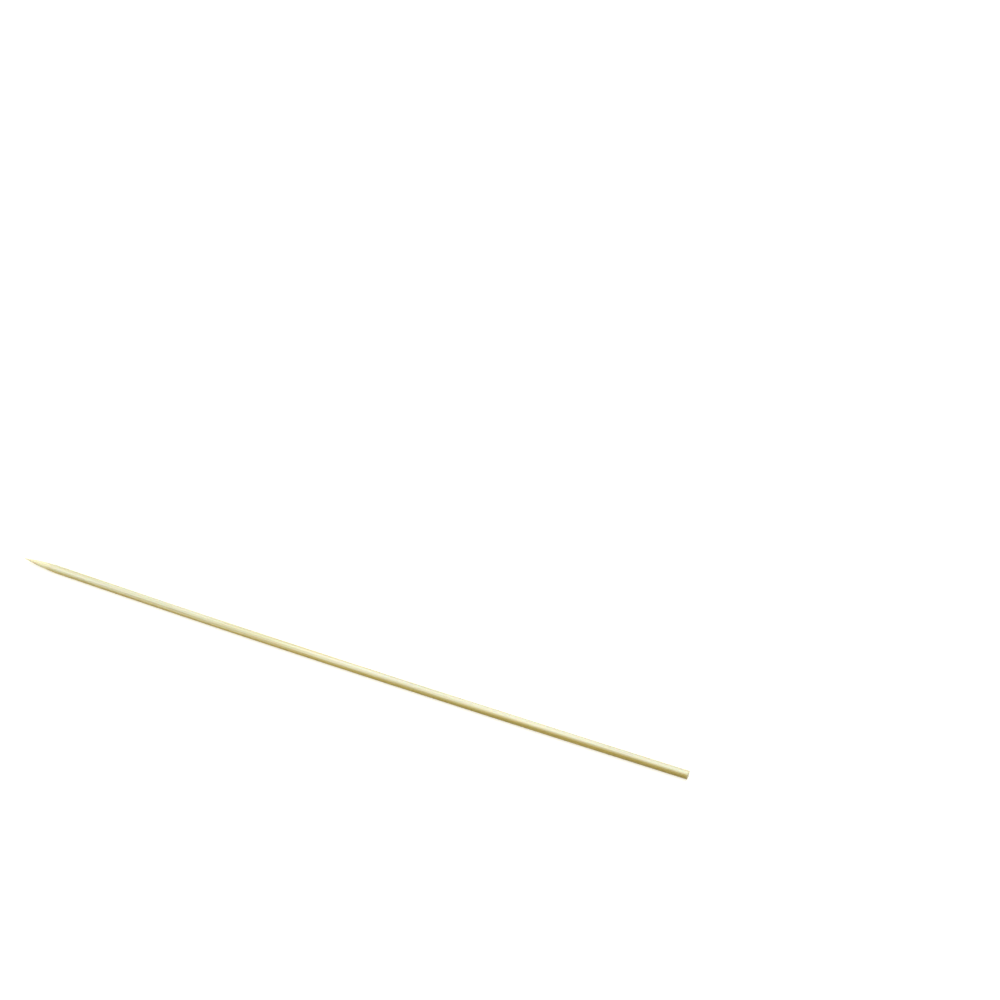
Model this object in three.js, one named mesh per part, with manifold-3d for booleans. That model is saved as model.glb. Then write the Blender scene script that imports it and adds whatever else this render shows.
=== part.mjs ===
// A bamboo skewer: one round stick with a ground point at the front and a sawn butt at the back.
// The real one comes from a bamboo strip that is planed on both faces and then cut into rounds, so a narrow
// flat of each strip face is left along its top and its bottom. It dries with a slight bow.
// Millimetres, +Z up. It lies on its lower flat along X, with the tip towards -X, and bows towards -Y.

import * as THREE from "three";
import { mergeVertices, toCreasedNormals } from "three/addons/utils/BufferGeometryUtils.js";
import Module from "manifold-3d";

// The stick
const LENGTH = 250; // from tip to butt
const DIAMETER = 3;
const FLAT_WIDTH = 1; // of the strip face that is left along the top and along the bottom
const BOW = 1; // sideways, at half the length
const BOW_LEAN = 0.2; // 0 is an even bow, and more makes it fuller towards the tip

// The point
const POINT_LENGTH = 13;
const POINT_CROWN = 0.2; // how far the ground flank stands out from a straight cone
const TIP_DIAMETER = 0.3;

// The butt
const EDGE_RADIUS = 0.15; // of the worn edge around the sawn face

// Steps that the round stretches are drawn with
const SIDES = 48;
const NOSE_STEPS = 3;
const FLANK_STEPS = 10;
const SHANK_STEPS = 12;
const EDGE_STEPS = 3;
const CREASE = THREE.MathUtils.degToRad(15); // faces that meet more sharply keep a hard edge

const RADIUS = DIAMETER / 2;
const TIP_RADIUS = TIP_DIAMETER / 2;
const STRIP_THICKNESS = 2 * Math.sqrt(RADIUS ** 2 - (FLAT_WIDTH / 2) ** 2);

const { lerp } = THREE.MathUtils;
const wasm = await Module();
wasm.setup();

// Calls make with shares that rise in even steps, after 0 and up to 1.
function stepped(steps, make) {
  return Array.from({ length: steps }, (_, step) => make((step + 1) / steps));
}

// Half the stick's outline, as radius and distance behind the tip: nose, crowned flank, shank, butt.
function outline() {
  const point = (radius, behind) => new THREE.Vector2(radius, behind);
  const quarter = Math.PI / 2;
  return [
    point(0, 0),
    ...stepped(NOSE_STEPS, (share) =>
      point(TIP_RADIUS * Math.sin(share * quarter), TIP_RADIUS * (1 - Math.cos(share * quarter))),
    ),
    ...stepped(FLANK_STEPS, (share) =>
      point(
        lerp(TIP_RADIUS, RADIUS, share) + 4 * POINT_CROWN * share * (1 - share),
        lerp(TIP_RADIUS, POINT_LENGTH, share),
      ),
    ),
    ...stepped(SHANK_STEPS, (share) => point(RADIUS, lerp(POINT_LENGTH, LENGTH - EDGE_RADIUS, share))),
    ...stepped(EDGE_STEPS, (share) =>
      point(
        RADIUS - EDGE_RADIUS * (1 - Math.cos(share * quarter)),
        LENGTH - EDGE_RADIUS * (1 - Math.sin(share * quarter)),
      ),
    ),
    point(0, LENGTH),
  ];
}

// Moves each vertex sideways by the bow at its distance behind the tip. Every cross-section stays upright.
function bend(geometry) {
  const position = geometry.getAttribute("position");
  for (let i = 0; i < position.count; i++) {
    const share = position.getX(i) / LENGTH;
    const bow = 4 * BOW * share * (1 - share) * (1 + BOW_LEAN * (1 - 2 * share));
    position.setY(i, position.getY(i) - bow);
  }
  return geometry;
}

function toSolid(geometry) {
  const bare = new THREE.BufferGeometry().setIndex(geometry.index);
  bare.setAttribute("position", geometry.getAttribute("position"));
  const merged = mergeVertices(bare);
  return new wasm.Manifold(
    new wasm.Mesh({
      numProp: 3,
      vertProperties: new Float32Array(merged.getAttribute("position").array),
      triVerts: new Uint32Array(merged.index.array),
    }),
  );
}

function toGeometry(solid) {
  const { vertProperties, triVerts } = solid.getMesh();
  return new THREE.BufferGeometry()
    .setAttribute("position", new THREE.BufferAttribute(vertProperties, 3))
    .setIndex(new THREE.BufferAttribute(triVerts, 1));
}

// The round stick, bowed and planed to the strip's thickness, with its box's bottom centre at the origin.
function skewerGeometry() {
  const round = new THREE.LatheGeometry(outline(), SIDES).rotateZ(-Math.PI / 2);
  const strip = new THREE.BoxGeometry(3 * LENGTH, 4 * (DIAMETER + BOW), STRIP_THICKNESS);
  const planed = toGeometry(toSolid(bend(round)).intersect(toSolid(strip)));
  planed.computeBoundingBox();
  const centre = planed.boundingBox.getCenter(new THREE.Vector3());
  planed.translate(-centre.x, -centre.y, -planed.boundingBox.min.z);
  return toCreasedNormals(planed, CREASE);
}

const bamboo = new THREE.MeshStandardMaterial({ color: "#e6d8a4", roughness: 0.6, metalness: 0 });

const skewer = new THREE.Mesh(skewerGeometry(), bamboo);
skewer.name = "skewer";

const part = new THREE.Group();
part.name = "bamboo_skewer";
part.add(skewer);

export default part;
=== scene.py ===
# A bamboo skewer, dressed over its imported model. In metres, +Z up, with the tip towards -X and the
# belly of the bow towards -Y.

import math

import bpy
import numpy as np
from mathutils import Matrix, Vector


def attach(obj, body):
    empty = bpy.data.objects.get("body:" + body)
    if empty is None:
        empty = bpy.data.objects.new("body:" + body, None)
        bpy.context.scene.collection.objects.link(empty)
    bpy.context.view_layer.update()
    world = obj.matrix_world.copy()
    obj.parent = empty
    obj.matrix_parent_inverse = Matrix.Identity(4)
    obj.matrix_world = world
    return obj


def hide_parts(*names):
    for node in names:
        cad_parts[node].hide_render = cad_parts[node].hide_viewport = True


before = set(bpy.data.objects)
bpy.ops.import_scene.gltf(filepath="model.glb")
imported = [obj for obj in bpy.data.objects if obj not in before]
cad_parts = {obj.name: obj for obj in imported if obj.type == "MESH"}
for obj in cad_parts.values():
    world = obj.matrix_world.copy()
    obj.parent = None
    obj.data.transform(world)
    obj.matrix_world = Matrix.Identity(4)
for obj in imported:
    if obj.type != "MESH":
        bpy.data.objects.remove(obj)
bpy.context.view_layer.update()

# Camera
# It looks down on the table at 44 degrees, 23 degrees round from square to the skewer, through a
# lens of about 70 mm. Tip and butt then fall where they should in the frame.

CAMERA_PLACE = (0.2205, -0.3811, 0.5004)
LOOKS_DOWN = 44.04
TURNED_ROUND = 22.9
LENS = 70.13
SENSOR_WIDTH = 36
NEAREST_SEEN = 0.01

camera_data = bpy.data.cameras.new("camera")
camera_data.sensor_width = SENSOR_WIDTH
camera_data.lens = LENS
camera_data.clip_start = NEAREST_SEEN
camera = bpy.data.objects.new("camera", camera_data)
camera.location = CAMERA_PLACE
camera.rotation_euler = (math.radians(90 - LOOKS_DOWN), 0, math.radians(TURNED_ROUND))
bpy.context.collection.objects.link(camera)
bpy.context.scene.camera = camera

# Skewer
# One stick of bamboo from the wall of the culm. Its strip is planed on both faces, rounded by
# grooved cutters from above and below, and broken from its neighbours along a thin web at each
# side. It is then tumbled, dried, sawn to length and ground to a point.

# Its sizes in millimetres, and the scene's length of one
MM = 0.001
LENGTH = 250.0
RADIUS = 1.5
FLAT_WIDTH = 1.0  # what is left of the planed faces, along the top and the bottom
BOW = 1.0  # sideways, at half the length
BOW_LEAN = 0.2  # 0 is an even bow, and more makes it fuller towards the tip
POINT_LENGTH = 13.0
POINT_CROWN = 0.2  # how far the ground flank stands out from a straight cone
TIP_RADIUS = 0.15
EDGE_RADIUS = 0.15  # of the worn edge around the sawn face
HALF_THICKNESS = math.sqrt(RADIUS**2 - (FLAT_WIDTH / 2) ** 2)

# How finely it is drawn: sides around it, and rows on each stretch from tip to butt
SIDES = 144
NOSE_ROWS = 6
FLANK_ROWS = 120
SHANK_ROWS = 430
EDGE_ROWS = 5
FACE_ROWS = 18

# The layers of fibre bundles in the wall, from its skin down to its pith: the height of each over
# the stick's axis, the gap between its bundles and the width of one, in millimetres
BUNDLE_LAYERS = (
    (1.42, 0.36, 0.13),
    (1.06, 0.44, 0.15),
    (0.62, 0.52, 0.17),
    (0.1, 0.6, 0.19),
    (-0.5, 0.68, 0.2),
    (-1.12, 0.74, 0.22),
)
LAYER_FROM, LAYER_TO = -1.7, 1.8
BUNDLE_SCATTER = 0.2  # of the gap
BUNDLE_WANDER = 0.12
WANDER_STEP = 45
STRENGTH_STEP = 30
LEAST_STRENGTH = 0.5


def stick_outline():
    """Half the stick's outline, as two arrays: distance behind the tip, and radius.

    The nose is a quarter circle. The flank goes straight from the nose to the shank, plus a
    parabola that stands POINT_CROWN out at its middle. The shank is even. A quarter circle rounds
    the butt's edge, and the sawn face closes in to its middle.
    """
    quarter = np.linspace(0, math.pi / 2, NOSE_ROWS + 1)[1:]
    flank = np.linspace(0, 1, FLANK_ROWS + 1)[1:]
    edge = np.linspace(0, math.pi / 2, EDGE_ROWS + 1)[1:]
    face = np.linspace(1, 0, FACE_ROWS + 2)[1:-1]
    behind = [
        TIP_RADIUS * (1 - np.cos(quarter)),
        TIP_RADIUS + (POINT_LENGTH - TIP_RADIUS) * flank,
        np.linspace(POINT_LENGTH, LENGTH - EDGE_RADIUS, SHANK_ROWS + 1)[1:],
        LENGTH - EDGE_RADIUS * (1 - np.sin(edge)),
        np.full(FACE_ROWS, LENGTH),
    ]
    radius = [
        TIP_RADIUS * np.sin(quarter),
        TIP_RADIUS + (RADIUS - TIP_RADIUS) * flank + 4 * POINT_CROWN * flank * (1 - flank),
        np.full(SHANK_ROWS, RADIUS),
        RADIUS - EDGE_RADIUS * (1 - np.cos(edge)),
        (RADIUS - EDGE_RADIUS) * face,
    ]
    return np.concatenate(behind), np.concatenate(radius)


def wander(along, step, count, seed):
    """Smooth chance curves, one row for each of count, with values from -1 to 1.

    A chance value stands every step along, and between two of them the curve eases as
    3t^2 - 2t^3.
    """
    knots = np.random.default_rng(seed).uniform(-1, 1, (count, int(LENGTH / step) + 3))
    place = np.asarray(along) / step
    low = np.floor(place).astype(int)
    ease = (place - low) ** 2 * (3 - 2 * (place - low))
    return knots[:, low] * (1 - ease) + knots[:, low + 1] * ease


def bundle_field(behind, across, up):
    """How much of each point lies in a fibre bundle, from 0 to 1.

    A bundle is a soft round column along the stick, exp(-(distance / width)^2) across it, and
    wanders a little sideways and up. The columns stand in BUNDLE_LAYERS. So they show as streaks
    on the shank, as long arrowheads on the point and as dots on the sawn butt.
    """
    columns = [
        (middle, height, gap, width)
        for layer, (height, gap, width) in enumerate(BUNDLE_LAYERS)
        for middle in np.arange(LAYER_FROM + gap * (layer % 2) / 2, LAYER_TO, gap)
    ]
    count = len(columns)
    middle, height, gap, width = np.array(columns).T
    rng = np.random.default_rng(11)
    y = middle + rng.uniform(-BUNDLE_SCATTER, BUNDLE_SCATTER, count) * gap
    z = height + rng.uniform(-BUNDLE_SCATTER, BUNDLE_SCATTER, count) * gap
    row_y = y[:, None] + BUNDLE_WANDER * wander(behind, WANDER_STEP, count, seed=12)
    row_z = z[:, None] + BUNDLE_WANDER * wander(behind, WANDER_STEP, count, seed=13)
    chance = (1 + wander(behind, STRENGTH_STEP, count, seed=14)) / 2
    strength = LEAST_STRENGTH + (1 - LEAST_STRENGTH) * chance
    off_y = across[None] - row_y[:, :, None]
    off_z = up[None] - row_z[:, :, None]
    near = np.exp(-(off_y**2 + off_z**2) / width[:, None, None] ** 2)
    return (strength[:, :, None] * near).max(0)


behind, radius = stick_outline()
turn = np.linspace(0, 2 * math.pi, SIDES, endpoint=False)
across = radius[:, None] * np.cos(turn)
up = np.clip(radius[:, None] * np.sin(turn), -HALF_THICKNESS, HALF_THICKNESS)
bundle = bundle_field(behind, across, up)

# What stands a little below the solid, in millimetres: soft tissue between the bundles, the torn
# web at each side, the ground flank's unevenness and the saw's chips in the butt's edge. All of it
# goes inwards, so the box stays the same.
TISSUE_DEPTH = 0.016
WEB_HEIGHT = 0.17
WEB_DEPTH = 0.026
WEB_TEARS = 0.024
SHORT_TEARS, LONG_TEARS = 1.3, 5.0
WEB_LEAST_RADIUS = 1.2
WEB_STOPS_AT = LENGTH - 0.4
FLANK_DEPTH = 0.012
FLANK_STEP = 2.2
FLANK_FADES_IN = 1.0
FLANK_FADES_OUT = 2.0
CHIP_DEPTH = 0.12
CHIP_LENGTH = 0.7
CHIP_STEPS = 36
CHIPS_FROM = 0.35  # only chance values over this one make a chip
CHIPS_OUTSIDE = 0.6  # of the radius
THINNEST = 0.3

soft_tissue = TISSUE_DEPTH * (1 - bundle)

# The web fades as exp(-(height / WEB_HEIGHT)^2) off the middle of each side.
ragged = wander(behind, SHORT_TEARS, 2, seed=21) + wander(behind, LONG_TEARS, 2, seed=22)
ragged = ragged[:, :, None] / 2
on_web = ((radius > WEB_LEAST_RADIUS) & (behind < WEB_STOPS_AT))[:, None]
near_web = np.exp(-((up / WEB_HEIGHT) ** 2)) * on_web
web = near_web * (WEB_DEPTH + WEB_TEARS * np.where(across > 0, ragged[0], ragged[1]))

# The ground flank has a shallow lobe or two around it, which turn into others along it.
from_nose = np.clip(behind / FLANK_FADES_IN, 0, 1)
to_shank = np.clip((POINT_LENGTH - behind) / FLANK_FADES_OUT, 0, 1)
uneven = wander(behind, FLANK_STEP, 2, seed=23)[:, :, None]
uneven = 1.5 + uneven[0] * np.cos(turn) + uneven[1] * np.sin(2 * turn)
flank = FLANK_DEPTH * (from_nose * to_shank)[:, None] * uneven

# The chips deepen with the square of the way to the butt, on the outer part of the section.
chip_knots = np.random.default_rng(24).uniform(-1, 1, CHIP_STEPS + 1)
chip_at = np.interp(turn, np.linspace(0, 2 * math.pi, CHIP_STEPS + 1), chip_knots)
by_butt = np.clip((behind - LENGTH + CHIP_LENGTH) / CHIP_LENGTH, 0, 1) ** 2
on_edge = np.clip((radius / RADIUS - CHIPS_OUTSIDE) / (1 - CHIPS_OUTSIDE), 0, 1)
chips = CHIP_DEPTH * (by_butt * on_edge)[:, None] * np.clip(chip_at - CHIPS_FROM, 0, 1)

sunk = soft_tissue + web + flank + chips
keep = np.clip(1 - sunk / np.maximum(radius, THINNEST)[:, None], 0, 1)

# The bow moves each section sideways by a parabola that leans towards the tip, and the box's
# middle stands at the origin.
share = behind / LENGTH
bow = 4 * BOW * share * (1 - share) * (1 + BOW_LEAN * (1 - 2 * share))
bowed = across - bow[:, None]
side = -(bowed.max() + bowed.min()) / 2
x = np.repeat(behind - LENGTH / 2, SIDES)
y = (across * keep - bow[:, None] + side).ravel()
z = (up * keep + HALF_THICKNESS).ravel()
tip_pole = (-LENGTH / 2, side, HALF_THICKNESS)
butt_pole = (LENGTH / 2, side, HALF_THICKNESS)
points = np.vstack([np.stack([x, y, z], 1), tip_pole, butt_pole]) * MM

# Each point's place in the stick before it bowed, which the finish follows, and its share of bundle
POLE_BUNDLE = 0.3
straight = np.stack([np.repeat(behind, SIDES), across.ravel(), up.ravel()], 1)
straight = np.vstack([straight, (0, 0, 0), (LENGTH, 0, 0)]) * MM
bundle_all = np.concatenate([bundle.ravel(), [POLE_BUNDLE, POLE_BUNDLE]])

# Faces: a grid of quads between the rows, and a fan of triangles at each end.
rows = len(behind)
row, column = np.meshgrid(np.arange(rows - 1), np.arange(SIDES), indexing="ij")
after = (column + 1) % SIDES
this_row, next_row = row * SIDES, (row + 1) * SIDES
quads = np.stack([this_row + column, this_row + after, next_row + after, next_row + column], -1)
first = np.arange(SIDES)
second = (first + 1) % SIDES
last = (rows - 1) * SIDES
tip_fan = np.stack([np.full(SIDES, rows * SIDES), second, first], 1)
butt_fan = np.stack([np.full(SIDES, rows * SIDES + 1), last + first, last + second], 1)
faces = quads.reshape(-1, 4).tolist() + tip_fan.tolist() + butt_fan.tolist()

mesh = bpy.data.meshes.new("bamboo_skewer")
mesh.from_pydata(points, [], faces)
mesh.polygons.foreach_set("use_smooth", np.ones(len(mesh.polygons), bool))
mesh.attributes.new("stick", "FLOAT_VECTOR", "POINT").data.foreach_set("vector", straight.ravel())
mesh.attributes.new("bundle", "FLOAT", "POINT").data.foreach_set("value", bundle_all)

# The skin laid flat, to bake the finish on: strips of 50 mm side by side, and the sawn face below
# the first one. STRIP_LEFT and STRIP_WIDE are shares of a strip, and the rest shares of the map.
STRIPS = 5
STRIP_LENGTH = LENGTH / STRIPS
STRIP_LEFT, STRIP_WIDE = 0.04, 0.92
STRIP_FOOT, STRIP_TALL = 0.075, 0.91
FACE_MIDDLE = (0.03, 0.035)

corner_row = np.stack([row, row, row + 1, row + 1], -1)
corner_column = np.stack([column, column + 1, column + 1, column], -1)
strip = (behind[row] + behind[row + 1]) / 2 // STRIP_LENGTH
strip = np.minimum(strip, STRIPS - 1)[:, :, None]
skin_u = (strip + STRIP_LEFT + STRIP_WIDE * corner_column / SIDES) / STRIPS
skin_v = STRIP_FOOT + STRIP_TALL * (behind[corner_row] / STRIP_LENGTH - strip)
face_u = FACE_MIDDLE[0] + across[corner_row, corner_column % SIDES] / STRIP_LENGTH
face_v = FACE_MIDDLE[1] + up[corner_row, corner_column % SIDES] / STRIP_LENGTH
on_sawn = (row >= rows - 1 - FACE_ROWS)[:, :, None]
quad_uv = np.stack([np.where(on_sawn, face_u, skin_u), np.where(on_sawn, face_v, skin_v)], -1)

tip_u = (STRIP_LEFT + STRIP_WIDE * (first[:, None] + (0.5, 1, 0)) / SIDES) / STRIPS
tip_v = np.full((SIDES, 3), STRIP_FOOT)
tip_v[:, 1:] += STRIP_TALL * behind[0] / STRIP_LENGTH
tip_uv = np.stack([tip_u, tip_v], -1)
rim = np.stack([across[-1], up[-1]], -1) / STRIP_LENGTH
butt_uv = np.stack([0 * rim, rim, np.roll(rim, -1, 0)], 1) + FACE_MIDDLE
all_uv = np.concatenate([uv.reshape(-1, 2) for uv in (quad_uv, tip_uv, butt_uv)])
mesh.uv_layers.new(name="OFBake").uv.foreach_set("vector", all_uv.ravel())
mesh.update()

skewer = bpy.data.objects.new("bamboo_skewer", mesh)
bpy.context.collection.objects.link(skewer)


def linear(hex_colour):
    """A colour written as sRGB hex, as linear red, green, blue and 1."""
    parts = [int(hex_colour[k : k + 2], 16) / 255 for k in (1, 3, 5)]
    return [p / 12.92 if p <= 0.04045 else ((p + 0.055) / 1.055) ** 2.4 for p in parts] + [1]


def add(tree, kind, inputs, out=0, **settings):
    """Adds a node of that kind with its settings, and gives back its output out.

    An input that is a socket is linked, and any other value is written. Inputs go by name or
    number. In Math, 0 to 2 are the values. In Map Range, 0 is the value, 1 and 2 are where it
    starts and ends, and 3 and 4 what it turns to there, which is 0 and 1 where nothing is given.
    In Mix, 0 is the share of the second colour, 6 and 7 are the two colours, and 2 comes out.
    """
    node = tree.nodes.new(kind)
    for name, value in settings.items():
        setattr(node, name, value)
    for name, value in inputs.items():
        if isinstance(value, bpy.types.NodeSocket):
            tree.links.new(value, node.inputs[name])
        else:
            node.inputs[name].default_value = value
    return node.outputs[out]


# Raw bamboo, rounded by cutters and tumbled: pale straw with long fibres, satin on the hard
# bundles and duller on the soft tissue between them, without any coating.
# The skin colours are painted light, pale as a lit top, and the pith colours are painted shade, deep
# yellow as a shaded side, laid over the wall's own change from skin to pith.
SKIN_SIDE_PAINTED_LIGHT = linear("#eae8ce")
SKIN_SIDE_FIBRE_PAINTED_LIGHT = linear("#dcd8ae")
PITH_SIDE_PAINTED_SHADE = linear("#dfc962")
PITH_SIDE_FIBRE_PAINTED_SHADE = linear("#c6aa49")
GREEN_CAST = linear("#f7f9ee")
WARM_CAST = linear("#fcf1d9")
VESSEL = linear("#a98545")
INNER_FACE_AND_PAINTED_LIGHT = linear("#ebe1ae")
# The point's two colours are paler than new-cut wood alone: painted light on the point's shaded
# lower side.
POINT = linear("#f5efc6")
POINT_FIBRE = linear("#e9dda4")
CUT_END = linear("#f0e7bf")
BUNDLE_END = linear("#c0a86c")

bamboo = bpy.data.materials.new("raw_bamboo")
bamboo.use_nodes = True
tree = bamboo.node_tree
shader = tree.nodes["Principled BSDF"]
shader.inputs["IOR"].default_value = 1.53
shader.inputs["Subsurface Weight"].default_value = 0.2
shader.inputs["Subsurface Radius"].default_value = (1.0, 0.55, 0.2)
shader.inputs["Subsurface Scale"].default_value = 0.8 * MM
shader.inputs["Sheen Weight"].default_value = 1.0
shader.inputs["Sheen Roughness"].default_value = 0.4

stick = add(tree, "ShaderNodeAttribute", {}, "Vector", attribute_name="stick")
in_bundle = add(tree, "ShaderNodeAttribute", {}, "Fac", attribute_name="bundle")
behind_tip = add(tree, "ShaderNodeSeparateXYZ", {0: stick}, "X")
height = add(tree, "ShaderNodeSeparateXYZ", {0: stick}, "Z")

# Streaks along the stick: the length and width of one in millimetres, its detail, and its place in
# the noise. Real bundles lie 0.2 to 0.4 mm apart and real fibres 0.01 to 0.02 mm. The bundles are
# drawn about twice as coarse and the fibres ten times, because nothing under 0.3 mm shows at this
# distance.
STREAKS = {
    "broad": (60, 0.9, 2.0, 3.0),
    "long": (40, 0.42, 3.0, 9.0),
    "fine": (14, 0.16, 3.0, 17.0),
    "patches": (55, 2.4, 1.0, 25.0),
    "dashes": (5, 0.13, 1.0, 31.0),
    "rings": (0.3, 4.0, 2.0, 41.0),
}
STREAK_ROUGHNESS = 0.55
LOW, HIGH = 0.3, 0.7  # nearly all of a noise's values lie between these

grain = {}
for name, (long_mm, wide_mm, detail, place) in STREAKS.items():
    size = (1 / (long_mm * MM), 1 / (wide_mm * MM), 1 / (wide_mm * MM))
    drawn_out = add(
        tree, "ShaderNodeMapping", {"Vector": stick, "Scale": size, "Location": (place, 0, 0)}
    )
    noise = {"Vector": drawn_out, "Scale": 1.0, "Detail": detail, "Roughness": STREAK_ROUGHNESS}
    grain[name] = add(tree, "ShaderNodeTexNoise", noise, "Fac")

# Colour by height, laid out as the culm's wall from skin to pith: pale on top, which is painted
# light, and deep yellow down the sides, which is painted shade. The pith side climbs by a fixed
# share of the length, 0.85 mm from tip to butt, as fibres that aren't quite parallel to the stick
# would make it, and this also paints the lower side darker towards the butt, as painted shade.
# Heights are in millimetres over the stick's axis.
# How fast the pith side climbs along the stick, which paints the lower side darker towards the butt,
# as painted shade.
RUN_OUT_PAINTED_SHADE = 0.0034
STREAK_LIFT = 0.9  # how far the long streaks carry the colour up
PITH_UP_TO, SKIN_FROM = 0.33, 1.43
PLANED_FROM, PLANED_ALL = 0.9, 1.4
INNER_FROM, INNER_ALL = -0.1, -1.2
INNER_SHARE = 0.85
FIBRE_SHARE = 0.75

in_wall = add(
    tree, "ShaderNodeMath", {0: behind_tip, 1: -RUN_OUT_PAINTED_SHADE, 2: height}, operation="MULTIPLY_ADD"
)
in_wall = add(
    tree,
    "ShaderNodeMath",
    {0: grain["long"], 1: STREAK_LIFT * MM, 2: in_wall},
    operation="MULTIPLY_ADD",
)
skin_side_and_painted_light = add(tree, "ShaderNodeMapRange", {0: in_wall, 1: PITH_UP_TO * MM, 2: SKIN_FROM * MM})
# The planed top takes the skin colour too, a painted highlight along the top.
planed_top_painted_light = add(tree, "ShaderNodeMapRange", {0: height, 1: PLANED_FROM * MM, 2: PLANED_ALL * MM})
skin_side_and_painted_light = add(tree, "ShaderNodeMath", {0: skin_side_and_painted_light, 1: planed_top_painted_light}, operation="MAXIMUM")
soft = add(tree, "ShaderNodeMix", {0: skin_side_and_painted_light, 6: PITH_SIDE_PAINTED_SHADE, 7: SKIN_SIDE_PAINTED_LIGHT}, 2, data_type="RGBA")
hard = add(
    tree,
    "ShaderNodeMix",
    {0: skin_side_and_painted_light, 6: PITH_SIDE_FIBRE_PAINTED_SHADE, 7: SKIN_SIDE_FIBRE_PAINTED_LIGHT},
    2,
    data_type="RGBA",
)
hardness = add(tree, "ShaderNodeMapRange", {0: in_bundle, 1: 0.1, 2: 0.85, 4: FIBRE_SHARE})
colour = add(tree, "ShaderNodeMix", {0: hardness, 6: soft, 7: hard}, 2, data_type="RGBA")
# The underside turns paler: the wall's paler inner face, and painted light that lifts the shaded
# underside.
inner_side_and_painted_light = add(
    tree, "ShaderNodeMapRange", {0: height, 1: INNER_FROM * MM, 2: INNER_ALL * MM, 4: INNER_SHARE}
)
colour = add(tree, "ShaderNodeMix", {0: inner_side_and_painted_light, 6: colour, 7: INNER_FACE_AND_PAINTED_LIGHT}, 2, data_type="RGBA")

# Faint green and warm patches, and the dark dashes of vessels that the cutters opened
VESSEL_SHARE = 0.6

greener = add(tree, "ShaderNodeMapRange", {0: grain["patches"], 1: 0.35, 2: 0.62})
colour = add(
    tree,
    "ShaderNodeMix",
    {0: greener, 6: colour, 7: GREEN_CAST},
    2,
    data_type="RGBA",
    blend_type="MULTIPLY",
)
warmer = add(tree, "ShaderNodeMapRange", {0: grain["broad"], 1: 0.54, 2: 0.72})
colour = add(
    tree,
    "ShaderNodeMix",
    {0: warmer, 6: colour, 7: WARM_CAST},
    2,
    data_type="RGBA",
    blend_type="MULTIPLY",
)
in_vessel = add(tree, "ShaderNodeMapRange", {0: in_bundle, 1: 0.3, 2: 0.7, 4: VESSEL_SHARE})
open_vessel = add(tree, "ShaderNodeMapRange", {0: grain["dashes"], 1: 0.62, 2: 0.7, 4: in_vessel})
colour = add(tree, "ShaderNodeMix", {0: open_vessel, 6: colour, 7: VESSEL}, 2, data_type="RGBA")

# The torn web is a little darker, as rough wood is. The hollows between the fibres are darker
# too, as painted shade on the grain. The pith side gets darker from tip to butt, which is painted
# shade, and the skin side and the inner face don't.
WEB_EDGE = 0.08
WEB_FROM, WEB_ALL = 0.26, 0.1
WEB_STARTS, WEB_WHOLE = POINT_LENGTH, POINT_LENGTH + 2
WEB_SHADE = -0.1
LONG_DARK, LONG_PALE = 0.88, 1.06
FINE_DARK, FINE_PALE = 0.93, 1.05
TIP_PAINTED_LIGHT, BUTT_PAINTED_SHADE = 1.1, 0.74
INNER_UNSHADED = 0.6  # the share of inner face from which the shade is gone

ragged_edge = add(
    tree,
    "ShaderNodeMapRange",
    {0: grain["fine"], 1: LOW, 2: HIGH, 3: -WEB_EDGE * MM, 4: WEB_EDGE * MM},
)
off_middle = add(tree, "ShaderNodeMath", {0: height, 1: ragged_edge}, operation="ADD")
off_web = add(tree, "ShaderNodeMath", {0: off_middle}, operation="ABSOLUTE")
on_shank = add(tree, "ShaderNodeMapRange", {0: behind_tip, 1: WEB_STARTS * MM, 2: WEB_WHOLE * MM})
torn_web = add(
    tree, "ShaderNodeMapRange", {0: off_web, 1: WEB_FROM * MM, 2: WEB_ALL * MM, 4: on_shank}
)
# Long and fine grain streaks, darkest where the bump's hollows are: the grain's own tone, with
# painted shade in the hollows.
long_grain_and_hollow_shade = add(
    tree, "ShaderNodeMapRange", {0: grain["long"], 1: LOW, 2: HIGH, 3: LONG_DARK, 4: LONG_PALE}
)
fine_grain_and_hollow_shade = add(
    tree, "ShaderNodeMapRange", {0: grain["fine"], 1: LOW, 2: HIGH, 3: FINE_DARK, 4: FINE_PALE}
)
web_shade = add(
    tree, "ShaderNodeMath", {0: torn_web, 1: WEB_SHADE, 2: 1.0}, operation="MULTIPLY_ADD"
)
# Painted shade: the pith side darker towards the butt and lighter at the tip, while the skin side
# and the inner face keep their colour.
painted_butt_shade = add(
    tree, "ShaderNodeMapRange", {0: behind_tip, 1: 0.0, 2: LENGTH * MM, 3: TIP_PAINTED_LIGHT, 4: BUTT_PAINTED_SHADE}
)
painted_butt_shade = add(
    tree, "ShaderNodeMapRange", {0: inner_side_and_painted_light, 2: INNER_UNSHADED, 3: painted_butt_shade, 4: 1.0}
)
painted_butt_shade = add(tree, "ShaderNodeMapRange", {0: skin_side_and_painted_light, 3: painted_butt_shade, 4: 1.0})
shade = add(tree, "ShaderNodeMath", {0: long_grain_and_hollow_shade, 1: fine_grain_and_hollow_shade}, operation="MULTIPLY")
shade = add(tree, "ShaderNodeMath", {0: shade, 1: painted_butt_shade}, operation="MULTIPLY")
shade = add(tree, "ShaderNodeMath", {0: shade, 1: web_shade}, operation="MULTIPLY")
colour = add(
    tree, "ShaderNodeMix", {0: 1.0, 6: colour, 7: shade}, 2, data_type="RGBA", blend_type="MULTIPLY"
)

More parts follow.
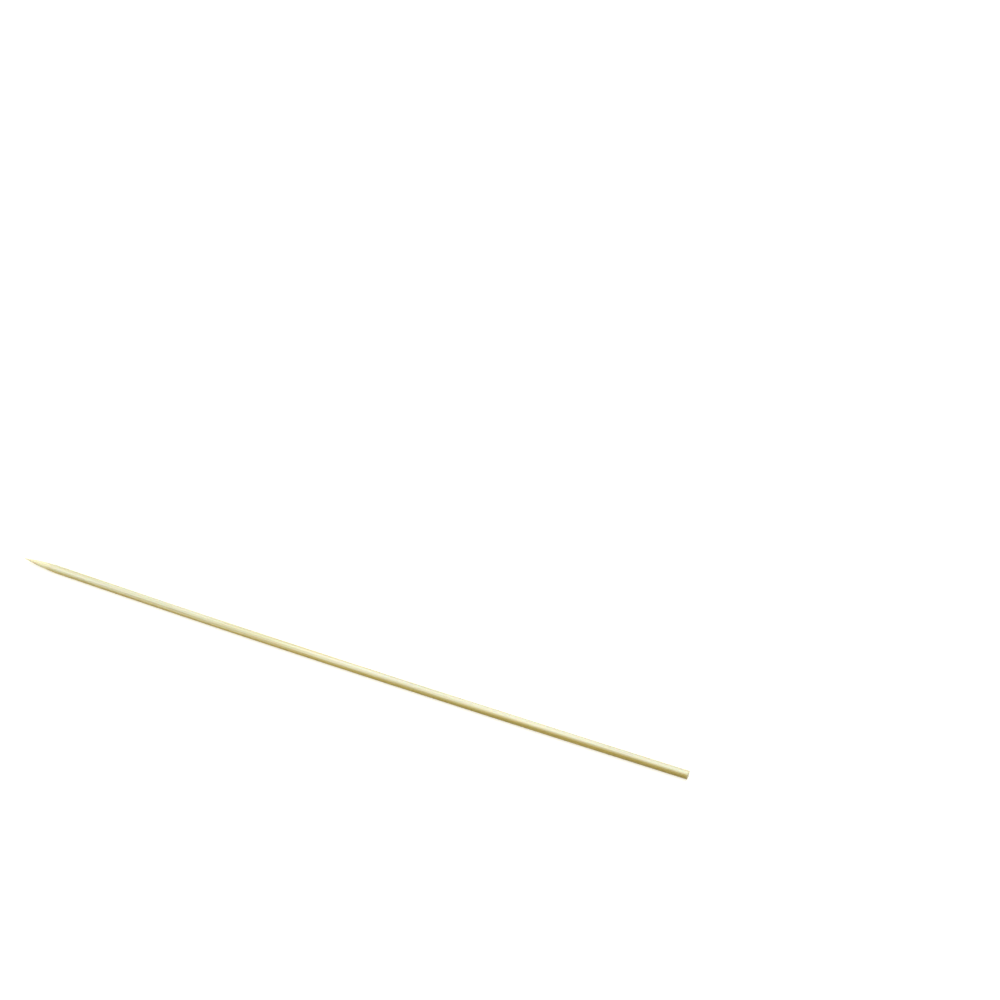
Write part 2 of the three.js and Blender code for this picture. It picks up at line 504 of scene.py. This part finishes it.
# The ground point and the sawn butt show new-cut wood. The point is painted paler still, as painted
# light on its shaded lower side, and the butt's worn rim shows some of the cut end's colour.
GROUND_FROM, GROUND_ALL = POINT_LENGTH - 0.5, POINT_LENGTH - 4
GROUND_SHARE = 0.92
RIM_FROM, RIM_ALL = LENGTH - 0.6, LENGTH - 0.15
RIM_SHARE = 0.3
SAWN_FROM, SAWN_ALL = LENGTH - 0.09, LENGTH - 0.01

ground_flank = add(
    tree, "ShaderNodeMapRange", {0: behind_tip, 1: GROUND_FROM * MM, 2: GROUND_ALL * MM}
)
fresh_wood_and_painted_light = add(tree, "ShaderNodeMath", {0: ground_flank, 1: GROUND_SHARE}, operation="MULTIPLY")
ground_bundle = add(tree, "ShaderNodeMapRange", {0: in_bundle, 1: 0.15, 2: 0.8})
ground = add(
    tree, "ShaderNodeMix", {0: ground_bundle, 6: POINT, 7: POINT_FIBRE}, 2, data_type="RGBA"
)
colour = add(tree, "ShaderNodeMix", {0: fresh_wood_and_painted_light, 6: colour, 7: ground}, 2, data_type="RGBA")
# The butt's rim is paler: worn wood, and a painted highlight on its rounded edge.
worn_rim_and_painted_highlight = add(
    tree, "ShaderNodeMapRange", {0: behind_tip, 1: RIM_FROM * MM, 2: RIM_ALL * MM, 4: RIM_SHARE}
)
colour = add(tree, "ShaderNodeMix", {0: worn_rim_and_painted_highlight, 6: colour, 7: CUT_END}, 2, data_type="RGBA")
on_face = add(tree, "ShaderNodeMapRange", {0: behind_tip, 1: SAWN_FROM * MM, 2: SAWN_ALL * MM})
bundle_end = add(tree, "ShaderNodeMapRange", {0: in_bundle, 1: 0.25, 2: 0.8})
sawn = add(tree, "ShaderNodeMix", {0: bundle_end, 6: CUT_END, 7: BUNDLE_END}, 2, data_type="RGBA")
colour = add(tree, "ShaderNodeMix", {0: on_face, 6: colour, 7: sawn}, 2, data_type="RGBA")
tree.links.new(colour, shader.inputs["Base Color"])

# Gloss: satin on the bundles, duller on soft tissue, and dullest on ground, sawn or torn wood
TISSUE_DULL, BUNDLE_DULL = 0.5, 0.38
GLOSSIER, DULLER = -0.05, 0.07
ROUGH_WOOD_DULLER = 0.14

dull = add(
    tree, "ShaderNodeMapRange", {0: in_bundle, 1: 0.1, 2: 0.9, 3: TISSUE_DULL, 4: BUNDLE_DULL}
)
uneven_dull = add(
    tree, "ShaderNodeMapRange", {0: grain["fine"], 1: LOW, 2: HIGH, 3: GLOSSIER, 4: DULLER}
)
dull = add(tree, "ShaderNodeMath", {0: dull, 1: uneven_dull}, operation="ADD")
rough_wood = add(tree, "ShaderNodeMath", {0: on_face, 1: ground_flank}, operation="MAXIMUM")
rough_wood = add(tree, "ShaderNodeMath", {0: rough_wood, 1: torn_web}, operation="MAXIMUM")
dull = add(
    tree, "ShaderNodeMath", {0: rough_wood, 1: ROUGH_WOOD_DULLER, 2: dull}, operation="MULTIPLY_ADD"
)
tree.links.new(dull, shader.inputs["Roughness"])

# Relief, in millimetres: fibres, knife marks, grinding rings on the point, saw lines on the butt
FINE_RELIEF = 0.02
LONG_RELIEF = 0.03
KNIFE_STEP = 1.3
KNIFE_RELIEF = 0.003
RING_RELIEF = 0.09
SAW_SCALE = (0, 0.3 / MM, 4.5 / MM)
SAW_RELIEF = 0.12

knife = add(tree, "ShaderNodeMapping", {"Vector": stick, "Scale": (1 / KNIFE_STEP / MM, 0, 0)})
knife = add(tree, "ShaderNodeTexWave", {"Vector": knife, "Scale": 1 / math.pi}, "Fac")
saw = add(tree, "ShaderNodeMapping", {"Vector": stick, "Scale": SAW_SCALE})
saw = add(tree, "ShaderNodeTexNoise", {"Vector": saw, "Scale": 1.0, "Detail": 1.0}, "Fac")
ring_height = add(tree, "ShaderNodeMath", {0: ground_flank, 1: RING_RELIEF}, operation="MULTIPLY")
saw_height = add(tree, "ShaderNodeMath", {0: on_face, 1: SAW_RELIEF}, operation="MULTIPLY")
relief = add(tree, "ShaderNodeMath", {0: grain["fine"], 1: FINE_RELIEF}, operation="MULTIPLY")
layers = (
    (grain["long"], LONG_RELIEF),
    (knife, KNIFE_RELIEF),
    (grain["rings"], ring_height),
    (saw, saw_height),
)
for pattern, depth in layers:
    relief = add(
        tree, "ShaderNodeMath", {0: pattern, 1: depth, 2: relief}, operation="MULTIPLY_ADD"
    )
facing = add(tree, "ShaderNodeBump", {"Strength": 1.0, "Distance": MM, "Height": relief})
tree.links.new(facing, shader.inputs["Normal"])

mesh.materials.append(bamboo)
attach(skewer, "root")
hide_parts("skewer")

# Table
# A plain pale tabletop that takes the skewer's shadow, with the white studio around it. The camera
# sees it lifted to white, and the lift grows away from the skewer, where the lamp falls off.

TABLE_SIDE = 3.0
TABLE_WHITE = linear("#cfc7a6")
LIFT_NEAR, LIFT_FAR = 0.75, 1.0
NEAR_UP_TO, FAR_FROM = 0.15, 0.6


def seen(tree):
    """1 for a ray that shows a thing to the camera, and 0 for one that only lights things.

    It is the largest of Light Path's outputs for camera, glossy and transmission rays.
    """
    by_camera = add(tree, "ShaderNodeLightPath", {}, "Is Camera Ray")
    by_gloss = add(tree, "ShaderNodeLightPath", {}, "Is Glossy Ray")
    through_glass = add(tree, "ShaderNodeLightPath", {}, "Is Transmission Ray")
    later = add(tree, "ShaderNodeMath", {0: by_gloss, 1: through_glass}, operation="MAXIMUM")
    return add(tree, "ShaderNodeMath", {0: by_camera, 1: later}, operation="MAXIMUM")


corners = np.array([(-1, -1, 0), (1, -1, 0), (1, 1, 0), (-1, 1, 0)]) * TABLE_SIDE / 2
table_mesh = bpy.data.meshes.new("table")
table_mesh.from_pydata(corners, [], [(0, 1, 2, 3)])
table = bpy.data.objects.new("table", table_mesh)
bpy.context.collection.objects.link(table)

tabletop = bpy.data.materials.new("white_tabletop")
tabletop.use_nodes = True
tree = tabletop.node_tree
tree.nodes.remove(tree.nodes["Principled BSDF"])
place = add(tree, "ShaderNodeTexCoord", {}, "Object")
away = add(tree, "ShaderNodeVectorMath", {0: place}, "Value", operation="LENGTH")
lift = add(
    tree, "ShaderNodeMapRange", {0: away, 1: NEAR_UP_TO, 2: FAR_FROM, 3: LIFT_NEAR, 4: LIFT_FAR}
)
lift = add(tree, "ShaderNodeMath", {0: seen(tree), 1: lift}, operation="MULTIPLY")
matt = add(tree, "ShaderNodeBsdfDiffuse", {"Color": TABLE_WHITE})
glow = add(tree, "ShaderNodeEmission", {"Strength": lift})
both = add(tree, "ShaderNodeAddShader", {0: matt, 1: glow})
tree.links.new(both, tree.nodes["Material Output"].inputs["Surface"])
table_mesh.materials.append(tabletop)

# Light
# One wide soft box above and a little behind the skewer, a small white card low down off its tip,
# which brightens that end's lower side, and a plain white room that fills the shadows.

ROOM = 0.27
WHITE = (1, 1, 1, 1)
BOX_SIZE = (0.9, 0.5)
BOX_WATTS = 10.2
BOX_PLACE = (0.02, 0.14, 1.0)
BOX_TURN = (math.radians(-8), math.radians(1), 0)
CARD_SIZE = (0.3, 0.2)
CARD_WATTS = 0.35
CARD_PLACE = (-0.5, -0.2, 0.13)
CARD_FACES = Vector((0.37, 0.2, -0.13))


def area_lamp(name, size, watts, place, turn):
    """An even lit rectangle of that size in metres, at that place, turned by three angles."""
    data = bpy.data.lights.new(name, "AREA")
    data.shape = "RECTANGLE"
    data.size, data.size_y = size
    data.energy = watts
    lamp = bpy.data.objects.new(name, data)
    lamp.location = place
    lamp.rotation_euler = turn
    bpy.context.collection.objects.link(lamp)


world = bpy.data.worlds.new("studio")
world.use_nodes = True
tree = world.node_tree
background = tree.nodes["Background"]
background.inputs["Color"].default_value = WHITE
strength = add(tree, "ShaderNodeMapRange", {0: seen(tree), 3: ROOM, 4: 1.0})
tree.links.new(strength, background.inputs["Strength"])
bpy.context.scene.world = world

area_lamp("soft_box", BOX_SIZE, BOX_WATTS, BOX_PLACE, BOX_TURN)
card_turn = CARD_FACES.to_track_quat("-Z", "Y").to_euler()
area_lamp("white_card", CARD_SIZE, CARD_WATTS, CARD_PLACE, card_turn)

bpy.context.scene.view_settings.view_transform = "Standard"
